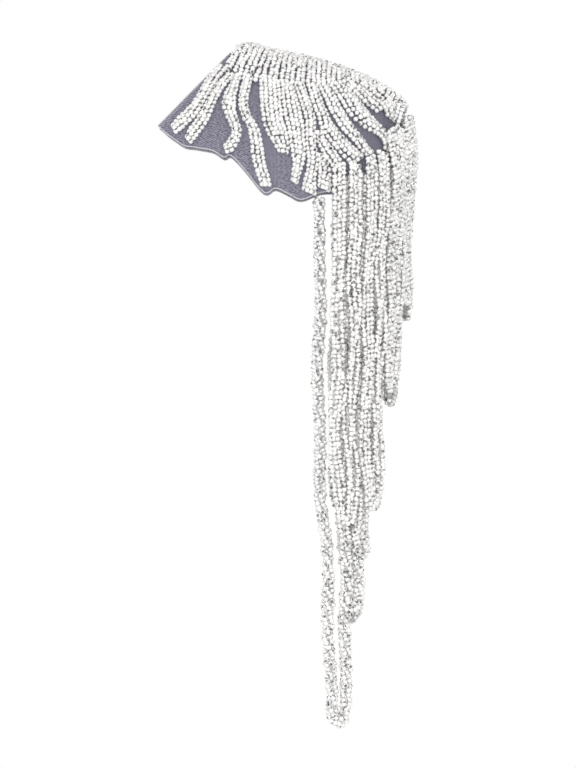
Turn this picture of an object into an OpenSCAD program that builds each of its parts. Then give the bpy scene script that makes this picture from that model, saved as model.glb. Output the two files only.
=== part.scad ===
// Beaded epaulette: a curved net pad for one shoulder, bands of beads sewn on it
// like fingers on both sides of a beaded spine, and a fringe of long bead loops.
// +X points outward along the shoulder, the front is at -Y, +Z is up.
// The origin is the middle of the underside of the pad, where it sits on the shoulder.

/* [Pad] */
// Reach of the net outward from the seat
tip_x = 64; // [60:1:68]
// Reach of the net to the front, and as far to the back
half_depth = 60; // [54:1:66]
// Fall over which the net turns from level on top to upright at the hem
section_fall = 105; // [100:1:125]
// Fall of the shoulder line for each mm outward at the seat
shoulder_slope = 0.27; // [0.2:0.01:0.32]
// Fall of the hem's lowest point in front of the arm
front_fall = 92; // [86:1:96]
// Thickness of the net and its hem
net_wall = 1; // [1:0.1:1.3]

/* [Beads] */
// Width of one row of beads, and how far it stands on the net
row_d = 3.9; // [3.5:0.1:4.1]
// Clear space between the net and what is sewn on it
sewn_gap = 0.5; // [0.4:0.1:0.8]

/* [Fringe] */
// Fall of the longest loop
longest_fall = 471; // [440:1:490]
// Clear space between one layer of strands and the next
layer_gap = 0.7; // [0.5:0.1:0.8]

/* [Hidden] */
// Bend of the shoulder line: fall for each square mm
shoulder_bend = 0.0023;
// The shoulder line turns down over the arm from here on
round_x = tip_x - 22;
round_fall = 26;
// The hem starts to curve round the arm here, and the fringe begins
fan_x = 5;
fan_ridge_reach = 28;
arm_x = 3.5;

strand_w = 2 * row_d;
strand_t = row_d + 0.2;
layer_step = strand_t + layer_gap;
loop_r = strand_w / 2 + 0.6;
// Share of a leg's fall over which the legs of a loop close in on each other
closing = 0.25;
// Fall between one ring of a strand and the next, corners of a ring, how far they stand out
ring_step = 50;
ring_sides = 8;
corner_out = 1.04;
// A leg hangs straight from this far below the hem, and is straight this far above its bend
straight = 3;

// Net stations from the neck edge to the arm: place on the shoulder line, hem x, hem z
neck_stations = [
  [-60, -112, -44.5],
  [-59, -103, -52],
  [-57.5, -93, -58.5],
  [-55, -83, -60],
  [-52, -72, -62.5],
  [-50, -65, -67],
  [-47.5, -60, -65.5],
  [-44, -50, -76],
  [-38, -36.5, -92],
  [-32, -28.5, -89],
  [-23, -19, -93],
  [-12, -10, -97],
];
arm_angles = [0, 12, 24, 36, 48, 58, 67, 75, 82];

// Spine stations: place on the shoulder line, edge x, edge z
spine_stations = [
  [-57, -66, -3],
  [-51.5, -59, -8],
  [-45, -52, -10.5],
  [-38, -44, -11.5],
  [-30, -33, -12],
  [-20, -21, -13],
  [-9, -9, -15],
  [2, 3, -16],
  [13, 15, -14],
  [25, 27, -14],
  [36, 37.5, -17],
  [46, 47, -21.5],
  [50, 51, -28],
  [53, 53.5, -36],
  [56, 56.3, -43],
  [58.5, 59, -47],
  [60.5, 61.3, -49],
];
// Humps of the spine, towards the neck and over the arm: place, reach, height
spine_humps = [[-46, 10, 3.4], [58.5, 6, 4.3]];

// Fingers from the spine to their ends, each section: x, z, number of bead rows
fingers = [
  [[-68.7, -6.5, 2], [-75, -14.5, 2.1], [-81.2, -25.4, 2], [-88, -35.8, 2.3], [-94.7, -42, 2.5],
    [-101, -48, 1.9]],
  [[-63.3, -12, 1.6], [-68.1, -17.5, 1.7], [-73.1, -26.4, 1.7], [-76.9, -34.5, 2.1], [-80.6, -41.6, 2.2],
    [-86.8, -49.9, 2.2], [-90.6, -55.5, 1.9]],
  [[-56.5, -12.8, 1.6], [-58.8, -18.7, 1.9], [-61.2, -27, 2.6], [-61.7, -32.4, 2.4], [-59, -40.3, 2],
    [-56.3, -47, 1.9], [-56.9, -53.7, 1.9], [-60.6, -59.5, 2.1], [-64.4, -62, 1.8]],
  [[-48.6, -13.5, 1.8], [-50.6, -22, 1.9], [-51.5, -30.4, 1.8], [-49, -38.7, 1.8], [-44.4, -46.2, 1.9],
    [-42.3, -55.3, 2.3], [-41.2, -63.7, 2.4], [-39.8, -72, 2.2], [-37.3, -80.3, 2.2], [-35.2, -87.5, 2]],
  [[-32.8, -15, 3.8], [-32, -27, 3.9], [-31.3, -34.5, 3.9], [-30, -43.7, 3.8], [-26.9, -51.2, 3.5],
    [-24.4, -57.8, 2.9], [-23.2, -64.5, 1.9]],
  [[-20.2, -17, 2.3], [-18.2, -27, 2.9], [-16.3, -37, 3.3], [-14.1, -47, 3.2], [-13.1, -55.3, 2.9],
    [-12.4, -63.7, 2.7], [-12.3, -71.1, 2.2], [-13.6, -77.8, 1.9], [-15.2, -85, 1.5]],
  [[-10.9, -19, 2], [-7, -30.4, 1.9], [-3.8, -40.3, 2], [-3.5, -51, 1.9], [-3.2, -60, 2],
    [-1.9, -67.8, 2.2], [-2.8, -76.1, 2.1], [-4, -83.6, 2.4], [-4.6, -92.3, 2.8]],
  [[4.2, -68, 0.9], [5, -71.5, 1.5], [6.3, -75.6, 2.3], [6.5, -81, 2.5], [6, -90, 2.6]],
  [[3, -52, 1.2], [4.8, -56.8, 1.8], [8.3, -62.8, 2.2], [12.6, -69, 2.4], [15.2, -74, 2.1]],
  [[-2, -19.5, 1.9], [1.6, -30.4, 2.1], [5, -37.9, 2.2], [7.6, -45.3, 2.5], [13, -52.6, 2.7],
    [18.7, -59.3, 3], [25.1, -66, 3], [30, -69, 2.6]],
  [[6.2, -19, 2.1], [10, -25.4, 2.3], [13.7, -33.5, 2.5], [17.8, -40.2, 2.5], [22.2, -46.8, 2.3],
    [28.7, -54.3, 2.1], [34.3, -61.7, 2], [37.6, -65, 1.8]],
  [[16, -18, 2.9], [21.5, -24.3, 3.5], [27.1, -32.4, 3.9], [32.4, -39.2, 3.6], [38.4, -44.5, 2.9],
    [45.1, -49.3, 2.2], [48.5, -55, 1.7], [49.3, -62, 1.5]],
  [[25.1, -17.5, 1.5], [30.6, -22.2, 1.8], [37, -28, 2], [44.4, -34.2, 1.6]],
  [[33, -18.2, 1.6], [37.6, -21, 1.8], [43.2, -25.5, 1.8], [46.7, -28.6, 1.7],
    [49.8, -33.4, 1.7], [51.6, -39, 1.8]],
];

// Loops of the front half: layer, angle of each leg round the arm, fall
loops = [
  [1, -2.3, 13, longest_fall],
  [3, 10, 20.5, 328],
  [2, 15.4, 26, 388],
  [1, 27.5, 37, 352],
  [3, 32, 41.5, 318],
  [2, 36.7, 46.8, 303],
  [1, 46, 55, 284],
  [3, 52.5, 61.5, 232],
  [2, 57, 66.3, 222],
  [1, 64, 73, 206],
  [3, 71.5, 81.5, 170],
];
tip_loop = [2, 79, 178];
// The back loops are up to this much shorter or longer, in an uneven order
back_shift = 11;
back_turn = 137.5;

function two(i) = str(i < 10 ? "0" : "", i);
function loop_names(side) = [for (i = [1:len(loops)]) str(side, "_loop_", two(i))];
function finger_names(side) = [for (i = [1:len(fingers)]) str(side, "_finger_", two(i))];

// Shoulder surface

function ridge_z(x) =
  net_wall - shoulder_slope * x - shoulder_bend * x * x
  - (x > round_x ? round_fall * (1 - sqrt(max(0, 1 - pow((x - round_x) / (tip_x - round_x), 2)))) : 0);
function depth(x) = half_depth * (x > fan_x ? sqrt(max(0.0001, 1 - pow((x - fan_x) / (tip_x - fan_x), 2))) : 1);
function hem_z(x) =
  -front_fall + (ridge_z(tip_x) + front_fall) * (1 - sqrt(max(0, 1 - pow((x - arm_x) / (tip_x - arm_x), 2))));

// Zero on the outer face of the net, above zero outside it
function shell(p) = pow(p.y / depth(p.x), 2) + pow(1 + (p.z - ridge_z(p.x)) / section_fall, 2) - 1;
function slope(p, e = 0.05) = [
  shell(p + [e, 0, 0]) - shell(p - [e, 0, 0]),
  shell(p + [0, e, 0]) - shell(p - [0, e, 0]),
  shell(p + [0, 0, e]) - shell(p - [0, 0, e]),
] / (2 * e);
function unit(v) = v / norm(v);
function outward(p) = unit(slope(p));
function settle(p, tries = 3) =
  tries == 0 ? p : settle(p - slope(p) * shell(p) / (slope(p) * slope(p)), tries - 1);

// The net's point seen from the front at x, z, on the side -1 front or 1 back
function seen(x, z, side) =
  let (up = 1 + (z - ridge_z(x)) / section_fall) [x, side * depth(x) * sqrt(max(0, 1 - up * up)), z];
// The net's point under x, y
function under(x, y) = [x, y, ridge_z(x) - section_fall * (1 - sqrt(max(0, 1 - pow(y / depth(x), 2))))];

// Lofts: rings run out along one face and back along the other

function strip_cap(start, k, flip) = [
  for (j = [0:k / 2 - 2])
    let (a = start + j, b = start + j + 1, c = start + k - 2 - j, d = start + k - 1 - j)
      each (flip ? [[a, b, c], [a, c, d]] : [[c, b, a], [d, c, a]])
];
function walls(n, k) = [
  for (i = [0:n - 2], j = [0:k - 1])
    let (a = i * k + j, b = i * k + (j + 1) % k, c = b + k, d = a + k) each [[a, b, c], [a, c, d]]
];
module loft(rings) {
  n = len(rings);
  k = len(rings[0]);
  polyhedron(
    [for (r = rings) each r],
    concat(strip_cap(0, k, false), walls(n, k), strip_cap((n - 1) * k, k, true))
  );
}

// Net pad

net_steps = 6;
function arm_stations() = [
  for (a = arm_angles)
    let (x = arm_x + (tip_x - arm_x) * sin(a)) [arm_x + (tip_x - arm_x) * pow(a / 90, 1.25), x, hem_z(x)]
];
// Points from the back edge over the shoulder line to the front edge
function net_line(s) = [
  for (k = [-net_steps:net_steps])
    let (f = pow(k / net_steps, 2), z0 = ridge_z(s[0]))
      seen(s[0] + (s[1] - s[0]) * f, z0 + (s[2] - z0) * f, sign(k))
];
module net_pad() {
  lines = [for (s = concat(neck_stations, arm_stations())) net_line(s)];
  rings = [
    for (l = lines)
      [for (p = l) p, for (i = [len(l) - 1:-1:0]) l[i] - net_wall * outward(l[i])]
  ];
  n = len(rings);
  k = len(rings[0]);
  tip = [[tip_x, 0, ridge_z(tip_x)]];
  to_tip = [for (j = [0:k - 1]) [(n - 1) * k + j, (n - 1) * k + (j + 1) % k, n * k]];
  color("#9c9aa8")
    polyhedron(concat([for (r = rings) each r], tip), concat(strip_cap(0, k, false), walls(n, k), to_tip));
}

// Beads sewn to the net

function band_section(lift) = [
  [-1, lift / 2], [-0.6, lift], [0.6, lift], [1, lift / 2], [0.8, 0], [-0.8, 0],
];
function band_ring(p, ahead, half_w) =
  let (up = outward(p), across = unit(cross(ahead, up)))
    [
      for (s = band_section(row_d))
        let (q = settle(p + across * s[0] * half_w)) q + outward(q) * (s[1] + sewn_gap)
    ];
module finger(rows, side) {
  line = [for (s = rows) seen(s[0], s[1], side)];
  half_w = [for (s = rows) s[2] * row_d / 2];
  n = len(line) - 1;
  rings = [
    for (i = [0:n])
      band_ring(line[i], side * (line[max(0, i - 1)] - line[min(n, i + 1)]), half_w[i])
  ];
  color("#e4e2e0") loft(rings);
}

function hump(x, h) = h[2] * exp(-pow((x - h[0]) / h[1], 2));
function spine_lift(x, c) = row_d + (hump(x, spine_humps[0]) + hump(x, spine_humps[1])) * (1 - c * c);
module spine_beads() {
  rings = [
    for (s = spine_stations)
      let (net = net_line(s), last = len(net) - 1)
        [
          for (i = [0:last])
            let (c = i / net_steps - 1)
              net[i] + outward(net[i]) * (sewn_gap + spine_lift(s[0], c) * (abs(c) == 1 ? 0.5 : 1)),
          for (i = [last:-1:0]) net[i] + outward(net[i]) * sewn_gap,
        ]
  ];
  color("#dedcda") loft(rings);
}

// Fringe

function hem_point(a, side) = let (x = fan_x + (tip_x - fan_x) * sin(a)) seen(x, hem_z(x), side);
function layer_lift(layer) = (layer - 2) * layer_step + sewn_gap + strand_t / 2;
// How far up from the hem a leg is sewn on, measured along the net, for layers 2 and 3:
// at the front, what is added towards the side, and what is taken off again over the arm
rises = [[10, 0, 6], [18, 9, 13]];
function soft(t) = let (c = min(1, max(0, t))) c * c * (3 - 2 * c);
function rise(layer, a) =
  let (r = rises[layer - 2]) r[0] + r[1] * soft((a - 40) / 14) - r[2] * soft((a - 56) / 20);
// Hanging strands lean in below the hem, the layers swing apart, the long ones drift towards
// the middle of the fringe, and all share one slow sway
lean_share = 0.12;
lean_x = 60;
layer_swing = 1.6;
drift_x = 22;
drift_share = 0.7;
sway = [1.5, 1.2];
sway_turn = [1.6, 0.8];
// Fall by which the lean, the sway and the drift have reached their full value
lean_fall = 70;
sway_fall = 100;
drift_fall = 375;
function hang(p, mid_x, along, out, top_z) =
  let (d = max(0, top_z - p.z), far = pow(d / drift_fall, 2))
    p + along * along.x * max(0, drift_x - mid_x) * drift_share * far
    + soft(d / lean_fall) * ([lean_share * (fan_x - min(mid_x, lean_x)), 0, 0] + out * layer_swing)
    - min(1, d / sway_fall) * [sway[0] * sin(sway_turn[0] * (p.z + front_fall)),
      sway[1] * sin(sway_turn[1] * (p.z + front_fall)), 0];

// The part of a leg that lies on the net, from where it is sewn on down to the hem: [point, face]
function climb(foot, top_x, want, low = 0.2, high = 1, tries = 12) =
  let (f = (low + high) / 2, p = up_from(foot, top_x, f))
    tries == 0 ? f : norm(p - foot) > want
      ? climb(foot, top_x, want, f, high, tries - 1)
      : climb(foot, top_x, want, low, f, tries - 1);
function up_from(foot, top_x, f) = under(top_x + (foot.x - top_x) * f, foot.y * f);
function sewn_part(layer, a, side) =
  layer == 1 ? [] :
  let (
    hem = hem_point(a, side),
    top_x = fan_x + fan_ridge_reach * sin(a),
    reach = rise(layer, a)
  )
    [
      for (i = [0:2])
        let (p = up_from(hem, top_x, climb(hem, top_x, reach * (1 - i / 2))), up = outward(p))
          [p + up * layer_lift(layer), up]
    ];
function leg_foot(layer, a, side) =
  let (hem = hem_point(a, side), up = outward(hem), flat = unit([up.x, up.y, 0]))
    hem + flat * layer_lift(layer);
function ring_at(p, ahead, face) =
  let (
    wide = unit(cross(ahead, face)) * strand_w / 2 * corner_out,
    thick = unit(cross(wide, ahead)) * strand_t / 2 * corner_out
  )
    [for (j = [0.5:ring_sides]) p + wide * cos(j * 360 / ring_sides) + thick * sin(j * 360 / ring_sides)];

// A whole loop: down one leg, round the bottom and up the other: [point, face]
function loop_route(layer, a, side_a, b, side_b, fall) =
  let (
    foot_a = leg_foot(layer, a, side_a),
    foot_b = leg_foot(layer, b, side_b),
    top_z = min(foot_a.z, foot_b.z) - straight,
    mid = [(foot_a.x + foot_b.x) / 2, (foot_a.y + foot_b.y) / 2, -fall],
    gap = [foot_b.x - foot_a.x, foot_b.y - foot_a.y, 0],
    half = norm(gap) / 2,
    e = unit(gap),
    face_0 = cross(e, [0, 0, 1]),
    face = face_0 * (mid.x > 0 && face_0 * [mid.x, mid.y, 0] < 0 ? -1 : 1),
    low = loop_r + strand_t / 2,
    steps = max(2, ceil((fall + top_z) / ring_step)),
    heights = [for (i = [0:steps]) fall + top_z - (fall + top_z - low - straight) * i / steps],
    spread = [for (h = heights) loop_r + (half - loop_r) * (1 - exp(-(h - low) / (closing * (fall + top_z))))],
    out = face * (layer - 2)
  )
    concat(
      sewn_part(layer, a, side_a),
      [for (i = [0:steps]) [hang(mid + [0, 0, heights[i]] - e * spread[i], mid.x, e, out, top_z), face]],
      [for (t = [180:-45:0])
        [hang(mid + e * loop_r * cos(t) + [0, 0, low - loop_r * sin(t)], mid.x, e, out, top_z), face]],
      [for (i = [steps:-1:0]) [hang(mid + [0, 0, heights[i]] + e * spread[i], mid.x, e, out, top_z), face]],
      let (up = sewn_part(layer, b, side_b)) [for (i = [len(up) - 1:-1:0]) up[i]]
    );
module strand(route) {
  n = len(route) - 1;
  rings = [
    for (i = [0:n])
      ring_at(route[i][0], unit(route[min(n, i + 1)][0] - route[max(0, i - 1)][0]), route[i][1])
  ];
  color("#d8d6d3") loft(rings);
}
module fringe_loop(i, side) {
  l = loops[i];
  shorter = side < 0 ? 0 : back_shift * sin(back_turn * i);
  strand(loop_route(l[0], l[1], side, l[2], side, l[3] - shorter));
}
module end_loop() {
  strand(loop_route(tip_loop[0], tip_loop[1], -1, tip_loop[1], 1, tip_loop[2]));
}

net_pad();
spine_beads();
end_loop();  // tip_loop
for (i = [0:len(fingers) - 1]) {
  finger(fingers[i], -1);
  finger(fingers[i], 1);
}
for (i = [0:len(loops) - 1]) {
  fringe_loop(i, -1);
  fringe_loop(i, 1);
}
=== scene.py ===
# %% [markdown]
# # A beaded epaulette
# A worn ornament for one shoulder: a curved pad of net, bands of glass seed beads sewn on it like
# fingers on both sides of a beaded spine, and a fringe of long bead loops. The solids are already in
# the frame, so this lesson dresses each of them: every solid becomes the beads or the net that it
# stands for, and none of them moves.

# %% Load the frame
import math

import bpy
import numpy as np
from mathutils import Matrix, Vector


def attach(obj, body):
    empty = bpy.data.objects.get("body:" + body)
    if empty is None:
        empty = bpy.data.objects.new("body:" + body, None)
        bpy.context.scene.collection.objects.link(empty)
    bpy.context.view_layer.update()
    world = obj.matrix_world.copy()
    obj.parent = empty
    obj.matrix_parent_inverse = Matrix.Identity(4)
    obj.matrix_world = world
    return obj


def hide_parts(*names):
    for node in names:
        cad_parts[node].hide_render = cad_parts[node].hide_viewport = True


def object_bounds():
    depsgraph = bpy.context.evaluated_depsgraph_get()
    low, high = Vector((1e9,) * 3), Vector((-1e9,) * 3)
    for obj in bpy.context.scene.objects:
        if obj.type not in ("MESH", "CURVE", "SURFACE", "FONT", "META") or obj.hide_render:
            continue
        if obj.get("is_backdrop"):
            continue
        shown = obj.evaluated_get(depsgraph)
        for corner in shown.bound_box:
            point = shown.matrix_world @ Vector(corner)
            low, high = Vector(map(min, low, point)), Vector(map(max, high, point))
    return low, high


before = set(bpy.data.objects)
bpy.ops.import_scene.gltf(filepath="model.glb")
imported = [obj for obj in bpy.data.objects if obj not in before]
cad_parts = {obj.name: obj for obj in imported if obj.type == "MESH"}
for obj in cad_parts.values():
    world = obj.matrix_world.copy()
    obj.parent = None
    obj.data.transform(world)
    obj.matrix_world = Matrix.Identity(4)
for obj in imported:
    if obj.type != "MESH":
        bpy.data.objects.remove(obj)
cad_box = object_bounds()
print("solids in the frame:", len(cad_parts))

# %% [markdown]
# The camera comes first, because everything after it is judged through it. A level camera with a long
# lens, far away, shows the piece as it hangs, with hardly any perspective. The lens follows from how
# much of the picture's height the piece takes. Lengths in this lesson are in millimetres, as in the
# solids' source, and MM turns them into Blender's metres.

# %% Camera
MM = 0.001
SENSOR = 36.0
CAMERA_DISTANCE = 7000.0
HEIGHT_SHARE = 0.89  # of the picture's height
EYE_Z = -200.0


def add_thing(name, data):
    """An object with this data, put in the scene."""
    thing = bpy.data.objects.new(name, data)
    bpy.context.scene.collection.objects.link(thing)
    return thing


low, high = cad_box
centre_x, centre_z = (low.x + high.x) / 2, (low.z + high.z) / 2
object_h = high.z - low.z
camera_data = bpy.data.cameras.new("camera")
camera = add_thing("camera", camera_data)
bpy.context.scene.camera = camera
camera.location = (centre_x, -CAMERA_DISTANCE * MM, EYE_Z * MM)
camera.rotation_euler = (math.radians(90), 0, 0)
camera_data.sensor_width = SENSOR
camera_data.lens = SENSOR * CAMERA_DISTANCE * MM * HEIGHT_SHARE / object_h
camera_data.shift_y = (centre_z - EYE_Z * MM) * HEIGHT_SHARE / object_h
print(f"lens {camera_data.lens:.0f} mm for a piece {object_h / MM:.0f} mm high")

# %% [markdown]
# The pad is one smooth surface: a shoulder line that falls towards the arm, and from it the net falls
# to the front and the back along a quarter of an ellipse. It could be sculpted, but a formula gives the
# same surface to the solids and to this script, so beads can be set down on it anywhere. Three lines
# make it: how high the shoulder line is, how deep the pad is there, and how low its hem hangs.

# %% The shoulder surface
TIP_X, HALF_DEPTH, SECTION_FALL = 64.0, 60.0, 105.0
SHOULDER_SLOPE, SHOULDER_BEND = 0.27, 0.0023
ROUND_X, ROUND_FALL = TIP_X - 22, 26.0
FRONT_FALL, NET_WALL = 92.0, 1.0
FAN_X, ARM_X = 5.0, 3.5
LEAST = 1e-4  # keeps the tip a hair wide, so the net has a slope there too


def quarter(x, start):
    """1 at the start of a round end and 0 at the tip, on a quarter of a circle."""
    return np.sqrt(np.clip(1 - np.clip((x - start) / (TIP_X - start), 0, None) ** 2, LEAST, None))


def ridge_z(x):
    """How high the shoulder line is."""
    line = NET_WALL - SHOULDER_SLOPE * x - SHOULDER_BEND * x * x
    return line - np.where(x > ROUND_X, ROUND_FALL * (1 - quarter(x, ROUND_X)), 0)


def depth(x):
    """How far the full ellipse would reach forward from the shoulder line."""
    return HALF_DEPTH * quarter(x, FAN_X)


def hem_z(x):
    """How low the hem hangs."""
    return -FRONT_FALL + (ridge_z(TIP_X) + FRONT_FALL) * (1 - quarter(x, ARM_X))


print(f"shoulder line falls to {float(ridge_z(TIP_X)):.1f} mm at the tip")

# %% [markdown]
# A bead that is sewn on needs its place on the net, and the direction in which it stands out from it.
# `shell` is zero on the net and grows outward, so its slope is that direction, and `settle` follows the
# slope until a point near the net lies on it. `seen` finds the net's point from the front, and `under`
# from above. Rays cast at a mesh would find them too, but a formula is exact and takes whole arrays.

# %% Points on the net
FRONT, BACK = -1, 1
SIDES = {"front": FRONT, "back": BACK}
SETTLE_STEPS = 3


def up_share(x, z):
    """How high z is on the ellipse at x: 1 on the shoulder line, 0 where the net hangs straight."""
    return 1 + (z - ridge_z(x)) / SECTION_FALL


def shell(p):
    return (p[..., 1] / depth(p[..., 0])) ** 2 + up_share(p[..., 0], p[..., 2]) ** 2 - 1


def slope(p, step=0.05):
    """How fast the shell grows in each direction."""
    return np.stack([(shell(p + d) - shell(p - d)) / (2 * step) for d in np.eye(3) * step], -1)


def unit(v):
    return v / np.linalg.norm(v, axis=-1, keepdims=True)


def outward(p):
    return unit(slope(p))


def settle(p):
    """The net's point near p."""
    for _ in range(SETTLE_STEPS):
        s = slope(p)
        p = p - s * (shell(p) / (s * s).sum(-1))[..., None]
    return p


def seen(x, z, side):
    """The net's point seen from the front at x, z."""
    y = side * depth(x) * np.sqrt(np.clip(1 - up_share(x, z) ** 2, 0, None))
    return np.stack(np.broadcast_arrays(x, y, z), -1)


def under(x, y):
    """The net's point under x, y."""
    fall = SECTION_FALL * (1 - np.sqrt(np.clip(1 - (y / depth(x)) ** 2, 0, None)))
    return np.stack(np.broadcast_arrays(x, y, ridge_z(x) - fall), -1)


def net_line(station, share):
    """Points from the back edge (share -1) over the shoulder line to the front edge (share 1)."""
    ridge, edge_x, edge_z = station
    f = share**2
    top = ridge_z(ridge)
    return seen(ridge + (edge_x - ridge) * f, top + (edge_z - top) * f, -np.sign(share))


print("outward in the middle of the front:", outward(seen(0.0, -FRONT_FALL / 2, FRONT)).round(2))

# %% [markdown]
# Meshes are made from arrays: points, triangles, and values for each point where the material needs
# them. Each piece hides the solids that it stands for, and it moves with the body. The map called
# OFBake gives every bead a small square of its own, so that a baked texture can hold a different tone
# for each.

# %% Making a piece
def make_piece(name, points, triangles, material, slot, nodes=(), maps=None, values=None):
    """One mesh with one material, which stands for these solids."""
    mesh = bpy.data.meshes.new(name)
    mesh.from_pydata((np.asarray(points) * MM).tolist(), [], np.asarray(triangles).tolist())
    mesh.shade_smooth()
    if maps is not None:
        layer = mesh.uv_layers.new(name="OFBake")
        layer.uv.foreach_set("vector", np.asarray(maps, np.float32).ravel())
    for key, column in (values or {}).items():
        kind, part = ("FLOAT", "value") if column.ndim == 1 else ("FLOAT_VECTOR", "vector")
        field = mesh.attributes.new(key, kind, "POINT")
        field.data.foreach_set(part, column.astype(np.float32).ravel())
    mesh.materials.append(material)
    piece = add_thing(name, mesh)
    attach(piece, "root")
    if nodes:
        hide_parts(*nodes)
    return piece


print("points are given in millimetres and scaled by", MM)

# %% [markdown]
# Shader maths reads best as maths. `Field` wraps one output of a node and overloads the operators, so
# `1 - mask * 0.5` adds its own Math nodes. Numbers alone are worked out in Python before they get here.

# %% Fields
class Field:
    """One number that varies over a surface: a node's output that Python's operators work on."""

    def __init__(self, recipe, socket):
        self.recipe, self.socket = recipe, socket

    def math(self, operation, a, b=None):
        inputs = {0: a} if b is None else {0: a, 1: b}
        return self.recipe.add("ShaderNodeMath", {"operation": operation}, inputs)

    def __add__(self, other):
        return self.math("ADD", self, other)

    def __mul__(self, other):
        return self.math("MULTIPLY", self, other)

    def __sub__(self, other):
        return self.math("SUBTRACT", self, other)

    def __rsub__(self, other):
        return self.math("SUBTRACT", other, self)

    def sine(self):
        return self.math("SINE", self)

    def most(self, other):
        return self.math("MAXIMUM", self, other)

    __radd__ = __add__
    __rmul__ = __mul__


print("operators on a field: +, - and *, from either side")

# %% [markdown]
# A recipe fills a node tree one node at a time. `add` makes any node from its type, its settings and
# what goes into its sockets, and each recurring step of a material is a short word: an attribute, a
# blend of two colours, a ramp. Colours are mixed in a Mix node, because a Math node would turn them grey.

# %% Recipes
class Recipe:
    """The node tree of a material or a world, up to the sockets of its shader."""

    def __init__(self, owner, shader="Principled BSDF"):
        self.owner = owner
        self.owner.use_nodes = True
        self.tree = self.owner.node_tree
        self.shader = self.tree.nodes[shader]

    def feed(self, socket, value):
        if isinstance(value, Field):
            self.tree.links.new(value.socket, socket)
        else:
            socket.default_value = value

    def add(self, kind, settings=None, inputs=None, output=0):
        node = self.tree.nodes.new(kind)
        for key, value in (settings or {}).items():
            setattr(node, key, value)
        for key, value in (inputs or {}).items():
            self.feed(node.inputs[key], value)
        return Field(self, node.outputs[output])

    def attribute(self, name, output="Fac"):
        return self.add("ShaderNodeAttribute", {"attribute_name": name}, output=output)

    def blend(self, factor, a, b):
        """From colour a to colour b."""
        colours = {"Factor": factor, 6: a, 7: b}
        return self.add("ShaderNodeMix", {"data_type": "RGBA"}, colours, output=2)

    def ramp(self, value, low_end, high_end, low=0.0, high=1.0):
        """Smoothly from low to high while value goes from low_end to high_end."""
        ends = {"Value": value, "From Min": low_end, "From Max": high_end, "To Min": low, "To Max": high}
        return self.add("ShaderNodeMapRange", {"interpolation_type": "SMOOTHSTEP"}, ends)

    def finish(self, **sockets):
        for key, value in sockets.items():
            self.feed(self.shader.inputs[key.replace("_", " ")], value)
        return self.owner


def recipe_for(name):
    return Recipe(bpy.data.materials.new(name))


print("a recipe can be written for a material or a world")

# %% [markdown]
# The beads are silver-lined seed beads: clear glass with a mirrored hole. Real refraction in thousands
# of tiny beads costs much time and gives noise, so the glass is made as an opaque bead with a clear
# coat. The waist of a bead has the pale colour of its silver lining. Towards its ends a painted shade
# darkens it: the dark of the hole that one sees past the lining, painted strongly on the duller beads
# and faintly on the brighter ones, whose lining outshines it. Each bead has a tone of its own, because
# no two catch the light alike.

# %% Bead glass
DULL_LINING, BRIGHT_LINING = (0.66, 0.655, 0.65, 1), (0.94, 0.93, 0.915, 1)
# painted shade: the dark of a bead's hole, painted onto the colour of its ends
HOLE_SHADE_PAINT = (0.07, 0.07, 0.075, 1)


def bead_glass():
    r = recipe_for("bead_glass")
    tone = r.attribute("tone")
    hole = r.attribute("hole")
    lining = r.blend(tone, DULL_LINING, BRIGHT_LINING)
    # painted shade of the hole near the rims, strong on dull beads and faint on bright ones
    painted_hole_shade = r.ramp(hole, 0.5, 0.85) * r.ramp(tone, 0.85, 0.5, low=0.15, high=0.97)
    colour = r.blend(painted_hole_shade, lining, HOLE_SHADE_PAINT)
    grain = r.add("ShaderNodeTexNoise", {}, {"Scale": 900.0, "Detail": 1.0})
    bump = r.add("ShaderNodeBump", {}, {"Strength": 0.25, "Distance": 0.0003, "Height": grain})
    return r.finish(
        Base_Color=colour, Metallic=tone * 0.3, Roughness=0.26 - tone * 0.12, Normal=bump,
        Coat_Weight=0.9, Coat_Roughness=0.04,
    )


GLASS = bead_glass()
print("nodes in the bead glass:", len(GLASS.node_tree.nodes))

# %% [markdown]
# One bead is a short barrel with a hole along it for the thread. Its profile is four rings of points,
# open at both ends, so that one looks into a real hole: at this size ten sides look round. The value
# called hole is 1 at the rim of the hole and nearly 0 round the waist.

# %% One bead
ROW_D = 3.9  # width and height of one row in the solids
BEAD_D = 3.6
BEAD_SIDES = 10
BEAD_RINGS = [  # radius and place along the hole in bead widths, value of hole
    [0.16, -0.49, 1], [0.49, -0.28, 0.1], [0.49, 0.28, 0.1], [0.16, 0.49, 1],
]


def one_bead():
    """Points, values of hole, triangles and map of a bead one unit wide."""
    radius, along, hole = np.repeat(np.array(BEAD_RINGS, float), BEAD_SIDES, axis=0).T
    turn = np.tile(2 * math.pi * np.arange(BEAD_SIDES) / BEAD_SIDES, len(BEAD_RINGS))
    points = np.stack([radius * np.cos(turn), radius * np.sin(turn), along], -1)
    walls = len(BEAD_RINGS) - 1
    triangles, maps = [], []
    for ring in range(walls):
        for j in range(BEAD_SIDES):
            k = (j + 1) % BEAD_SIDES
            a, b = ring * BEAD_SIDES + j, ring * BEAD_SIDES + k
            d, c = a + BEAD_SIDES, b + BEAD_SIDES
            left, right = j / BEAD_SIDES, (j + 1) / BEAD_SIDES
            lower, upper = ring / walls, (ring + 1) / walls
            triangles += [[a, b, c], [a, c, d]]
            maps += [[left, lower], [right, lower], [right, upper]]
            maps += [[left, lower], [right, upper], [left, upper]]
    return points, hole, np.array(triangles), np.array(maps)


BEAD_POINTS, BEAD_HOLE, BEAD_TRIANGLES, BEAD_MAP = one_bead()
print("triangles in one bead:", len(BEAD_TRIANGLES))

# %% [markdown]
# Beads could be instances on points, but a piece has to be one mesh that stands alone, so the bead is
# copied along the thread in one go with arrays. Each copy turns its hole along the thread, tips a
# little, and differs a little in size and tone. The random numbers have a fixed seed.

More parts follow.
